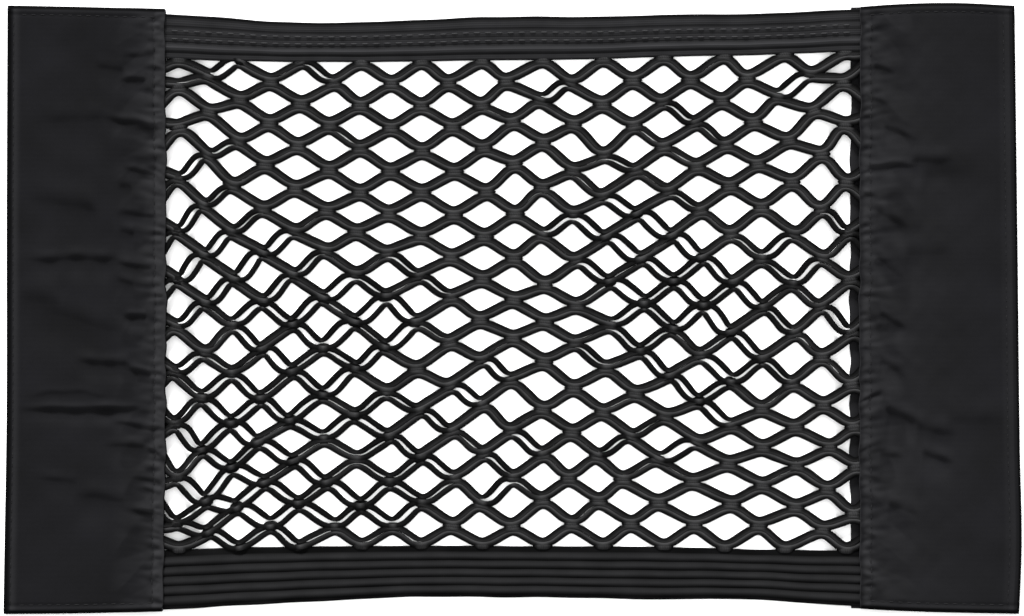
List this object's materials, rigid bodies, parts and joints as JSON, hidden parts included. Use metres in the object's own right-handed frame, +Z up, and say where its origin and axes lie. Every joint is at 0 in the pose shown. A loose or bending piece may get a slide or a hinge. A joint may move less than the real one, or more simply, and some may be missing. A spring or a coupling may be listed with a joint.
{
  "type": "cargo net",
  "caption": "Flat elastic cargo net: an open knotted mesh between ribbed elastic bands, with a folded cloth panel along each short end to fix it by.",
  "frame": {"origin": "on the surface the net lies on, under the middle of its outline", "axes": "+X along the net from the left panel to the right one, +Y towards the stitched band, +Z up from the surface"},
  "size_m": [0.4, 0.24, 0.0043],
  "materials": {
    "elastic_cord": "covered elastic cord, near black, slight sheen",
    "elastic_band": "ribbed woven elastic, near black, matte",
    "panel_cloth": "plain woven cloth, near black, matte"
  },
  "bodies": {
    "root": {"net": "elastic_cord", "top_band": "elastic_band", "bottom_band": "elastic_band", "left_panel": "panel_cloth", "right_panel": "panel_cloth"}
  },
  "joints": []
}
